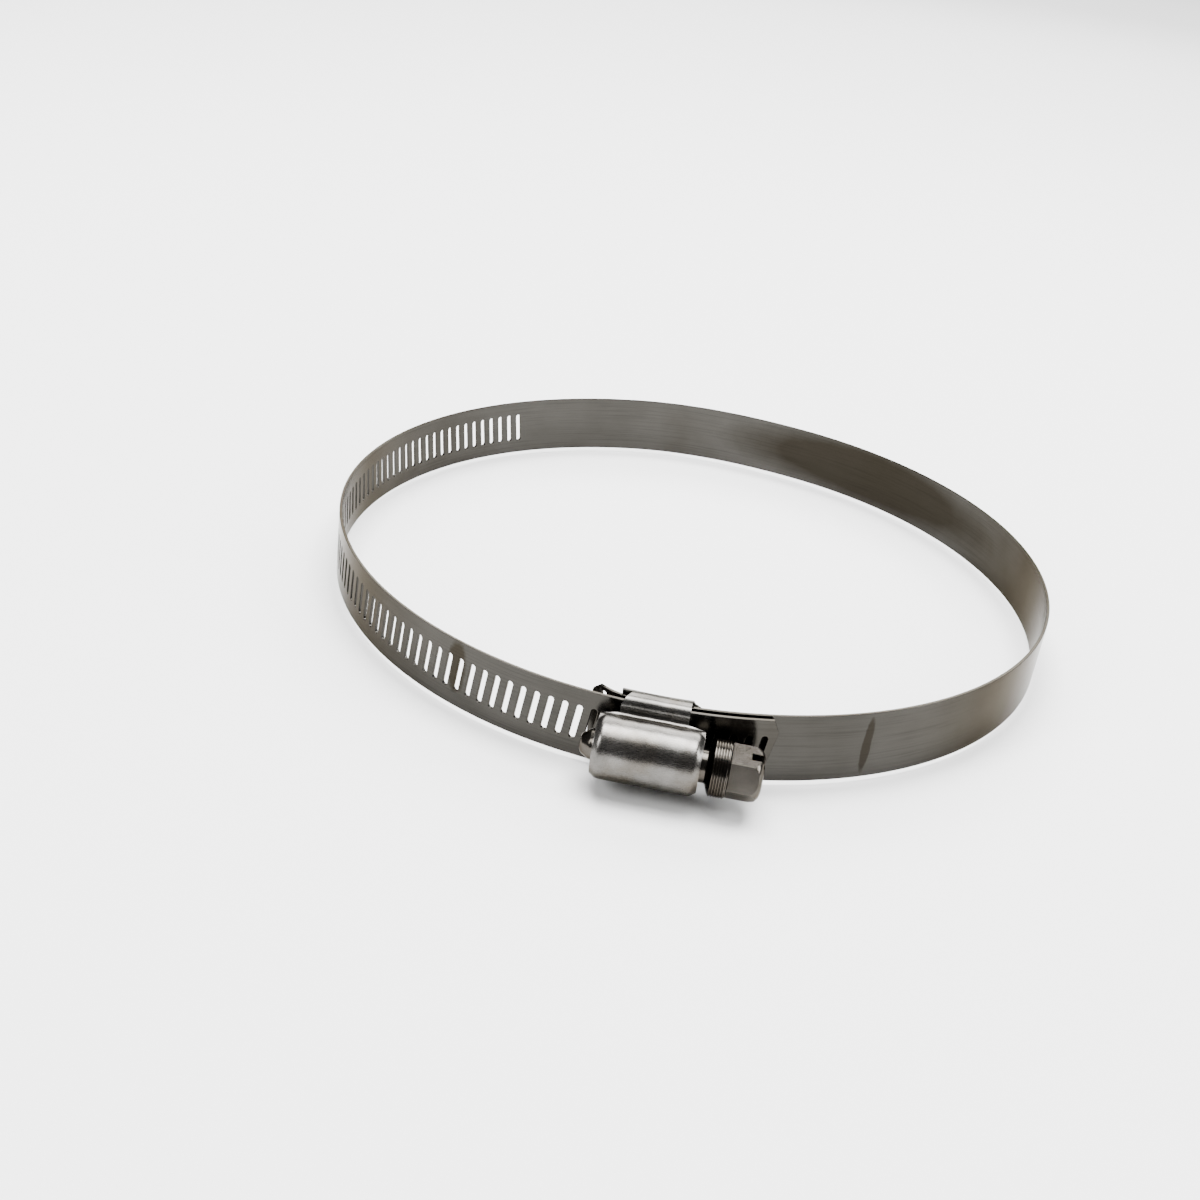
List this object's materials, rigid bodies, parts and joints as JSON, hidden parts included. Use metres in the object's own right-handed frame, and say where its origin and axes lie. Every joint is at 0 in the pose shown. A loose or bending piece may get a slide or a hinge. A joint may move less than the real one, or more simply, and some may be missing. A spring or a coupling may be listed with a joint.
{
  "type": "hose clamp",
  "caption": "Worm-drive hose clamp: a slotted steel band loop closed by a hex-head screw in a formed housing.",
  "frame": {"origin": "centre of the bounding box, on the plane of the housing's lower lip", "axes": "+Z along the loop's axis; the housing is on the -Y side; the screw lies along X with its head toward +X"},
  "size_m": [0.1426, 0.1524, 0.0148],
  "materials": {
    "housing_steel": "satin, fine sparkling grain",
    "saddle_steel": "satin",
    "screw_steel": "bright, turned",
    "band_steel": "smooth cold-rolled"
  },
  "bodies": {
    "mount": {"housing": "housing_steel", "saddle": "saddle_steel", "band_fixed_end": "band_steel"},
    "screw": {"screw": "screw_steel"},
    "plain_01": {"band_plain_01": "band_steel"},
    "plain_02": {"band_plain_02": "band_steel"},
    "plain_03": {"band_plain_03": "band_steel"},
    "plain_04": {"band_plain_04": "band_steel"},
    "plain_05": {"band_plain_05": "band_steel"},
    "plain_06": {"band_plain_06": "band_steel"},
    "plain_07": {"band_plain_07": "band_steel"},
    "plain_08": {"band_plain_08": "band_steel"},
    "plain_09": {"band_plain_09": "band_steel"},
    "plain_10": {"band_plain_10": "band_steel"},
    "plain_11": {"band_plain_11": "band_steel"},
    "plain_12": {"band_plain_12": "band_steel"},
    "slotted_01": {"band_slotted_01": "band_steel"},
    "slotted_02": {"band_slotted_02": "band_steel"},
    "slotted_03": {"band_slotted_03": "band_steel"},
    "slotted_04": {"band_slotted_04": "band_steel"},
    "slotted_05": {"band_slotted_05": "band_steel"},
    "slotted_06": {"band_slotted_06": "band_steel"},
    "slotted_07": {"band_slotted_07": "band_steel"},
    "slotted_08": {"band_slotted_08": "band_steel"},
    "slotted_09": {"band_slotted_09": "band_steel"},
    "slotted_10": {"band_slotted_10": "band_steel"},
    "slotted_11": {"band_slotted_11": "band_steel"},
    "slotted_12": {"band_slotted_12": "band_steel"},
    "tail": {"band_tail": "band_steel"}
  },
  "joints": [
    {"name": "screw_turn", "type": "hinge", "parent": "mount", "child": "screw", "pos_m": [0.00076, -0.07089, 0.00741], "axis": [-1, 0, 0], "range_deg": [0, 26640]},
    {"name": "bend_01", "type": "hinge", "parent": "mount", "child": "plain_01", "pos_m": [0.00874, -0.06428, 0.00741], "axis": [0, 0, 1], "range_deg": [0, 11.09]},
    {"name": "bend_02", "type": "hinge", "parent": "plain_01", "child": "plain_02", "pos_m": [0.02924, -0.05871, 0.00741], "axis": [0, 0, 1], "range_deg": [0, 12.12]},
    {"name": "bend_03", "type": "hinge", "parent": "plain_02", "child": "plain_03", "pos_m": [0.04714, -0.04726, 0.00741], "axis": [0, 0, 1], "range_deg": [0, 12.3]},
    {"name": "bend_04", "type": "hinge", "parent": "plain_03", "child": "plain_04", "pos_m": [0.0608, -0.031, 0.00741], "axis": [0, 0, 1], "range_deg": [0, 12.38]},
    {"name": "bend_05", "type": "hinge", "parent": "plain_04", "child": "plain_05", "pos_m": [0.06898, -0.01139, 0.00741], "axis": [0, 0, 1], "range_deg": [0, 12.23]},
    {"name": "bend_06", "type": "hinge", "parent": "plain_05", "child": "plain_06", "pos_m": [0.07093, 0.00977, 0.00741], "axis": [0, 0, 1], "range_deg": [0, 11.88]},
    {"name": "bend_07", "type": "hinge", "parent": "plain_06", "child": "plain_07", "pos_m": [0.06647, 0.03054, 0.00741], "axis": [0, 0, 1], "range_deg": [0, 12.38]},
    {"name": "bend_08", "type": "hinge", "parent": "plain_07", "child": "plain_08", "pos_m": [0.05601, 0.04903, 0.00741], "axis": [0, 0, 1], "range_deg": [0, 12.89]},
    {"name": "bend_09", "type": "hinge", "parent": "plain_08", "child": "plain_09", "pos_m": [0.0405, 0.06355, 0.00741], "axis": [0, 0, 1], "range_deg": [0, 13.92]},
    {"name": "bend_10", "type": "hinge", "parent": "plain_09", "child": "plain_10", "pos_m": [0.02136, 0.07278, 0.00741], "axis": [0, 0, 1], "range_deg": [0, 11.34]},
    {"name": "bend_11", "type": "hinge", "parent": "plain_10", "child": "plain_11", "pos_m": [0.00034, 0.07586, 0.00741], "axis": [0, 0, 1], "range_deg": [0, 8.8]},
    {"name": "bend_12", "type": "hinge", "parent": "plain_11", "child": "plain_12", "pos_m": [-0.0211, 0.07396, 0.00741], "axis": [0, 0, 1], "range_deg": [0, 15.93]},
    {"name": "bend_13", "type": "hinge", "parent": "plain_12", "child": "slotted_01", "pos_m": [-0.04053, 0.06431, 0.00741], "axis": [0, 0, 1], "range_deg": [0, 9.14]},
    {"name": "bend_14", "type": "hinge", "parent": "slotted_01", "child": "slotted_02", "pos_m": [-0.05198, 0.05429, 0.00741], "axis": [0, 0, 1], "range_deg": [0, 8.24]},
    {"name": "bend_15", "type": "hinge", "parent": "slotted_02", "child": "slotted_03", "pos_m": [-0.06106, 0.04209, 0.00741], "axis": [0, 0, 1], "range_deg": [0, 8.38]},
    {"name": "bend_16", "type": "hinge", "parent": "slotted_03", "child": "slotted_04", "pos_m": [-0.06737, 0.02824, 0.00741], "axis": [0, 0, 1], "range_deg": [0, 8.42]},
    {"name": "bend_17", "type": "hinge", "parent": "slotted_04", "child": "slotted_05", "pos_m": [-0.07062, 0.01338, 0.00741], "axis": [0, 0, 1], "range_deg": [0, 8.33]},
    {"name": "bend_18", "type": "hinge", "parent": "slotted_05", "child": "slotted_06", "pos_m": [-0.07066, -0.00183, 0.00741], "axis": [0, 0, 1], "range_deg": [0, 8.26]},
    {"name": "bend_19", "type": "hinge", "parent": "slotted_06", "child": "slotted_07", "pos_m": [-0.0675, -0.01671, 0.00741], "axis": [0, 0, 1], "range_deg": [0, 8.21]},
    {"name": "bend_20", "type": "hinge", "parent": "slotted_07", "child": "slotted_08", "pos_m": [-0.06128, -0.03059, 0.00741], "axis": [0, 0, 1], "range_deg": [0, 8.36]},
    {"name": "bend_21", "type": "hinge", "parent": "slotted_08", "child": "slotted_09", "pos_m": [-0.05227, -0.04284, 0.00741], "axis": [0, 0, 1], "range_deg": [0, 7.83]},
    {"name": "bend_22", "type": "hinge", "parent": "slotted_09", "child": "slotted_10", "pos_m": [-0.04089, -0.05293, 0.00741], "axis": [0, 0, 1], "range_deg": [0, 8.07]},
    {"name": "bend_23", "type": "hinge", "parent": "slotted_10", "child": "slotted_11", "pos_m": [-0.02763, -0.06039, 0.00741], "axis": [0, 0, 1], "range_deg": [0, 8.56]},
    {"name": "bend_24", "type": "hinge", "parent": "slotted_11", "child": "slotted_12", "pos_m": [-0.0131, -0.06489, 0.00741], "axis": [0, 0, 1], "range_deg": [0, 8.26]},
    {"name": "bend_25", "type": "hinge", "parent": "slotted_12", "child": "tail", "pos_m": [0.00205, -0.06623, 0.00741], "axis": [0, 0, 1], "range_deg": [0, 10.31]}
  ],
  "couplings": [
    {"joint": "bend_01", "follows": "screw_turn", "ratio": 0.00041558},
    {"joint": "bend_02", "follows": "screw_turn", "ratio": 0.00045424},
    {"joint": "bend_03", "follows": "screw_turn", "ratio": 0.00046081},
    {"joint": "bend_04", "follows": "screw_turn", "ratio": 0.00046378},
    {"joint": "bend_05", "follows": "screw_turn", "ratio": 0.00045848},
    {"joint": "bend_06", "follows": "screw_turn", "ratio": 0.00044512},
    {"joint": "bend_07", "follows": "screw_turn", "ratio": 0.00046396},
    {"joint": "bend_08", "follows": "screw_turn", "ratio": 0.00048326},
    {"joint": "bend_09", "follows": "screw_turn", "ratio": 0.00052177},
    {"joint": "bend_10", "follows": "screw_turn", "ratio": 0.00042477},
    {"joint": "bend_11", "follows": "screw_turn", "ratio": 0.00032958},
    {"joint": "bend_12", "follows": "screw_turn", "ratio": 0.00059733},
    {"joint": "bend_13", "follows": "screw_turn", "ratio": 0.00034245},
    {"joint": "bend_14", "follows": "screw_turn", "ratio": 0.00030867},
    {"joint": "bend_15", "follows": "screw_turn", "ratio": 0.00031378},
    {"joint": "bend_16", "follows": "screw_turn", "ratio": 0.00031543},
    {"joint": "bend_17", "follows": "screw_turn", "ratio": 0.00031197},
    {"joint": "bend_18", "follows": "screw_turn", "ratio": 0.00030912},
    {"joint": "bend_19", "follows": "screw_turn", "ratio": 0.00030739},
    {"joint": "bend_20", "follows": "screw_turn", "ratio": 0.00031318},
    {"joint": "bend_21", "follows": "screw_turn", "ratio": 0.00029306},
    {"joint": "bend_22", "follows": "screw_turn", "ratio": 0.0003021},
    {"joint": "bend_23", "follows": "screw_turn", "ratio": 0.00032061},
    {"joint": "bend_24", "follows": "screw_turn", "ratio": 0.00030942},
    {"joint": "bend_25", "follows": "screw_turn", "ratio": 0.00038634}
  ]
}
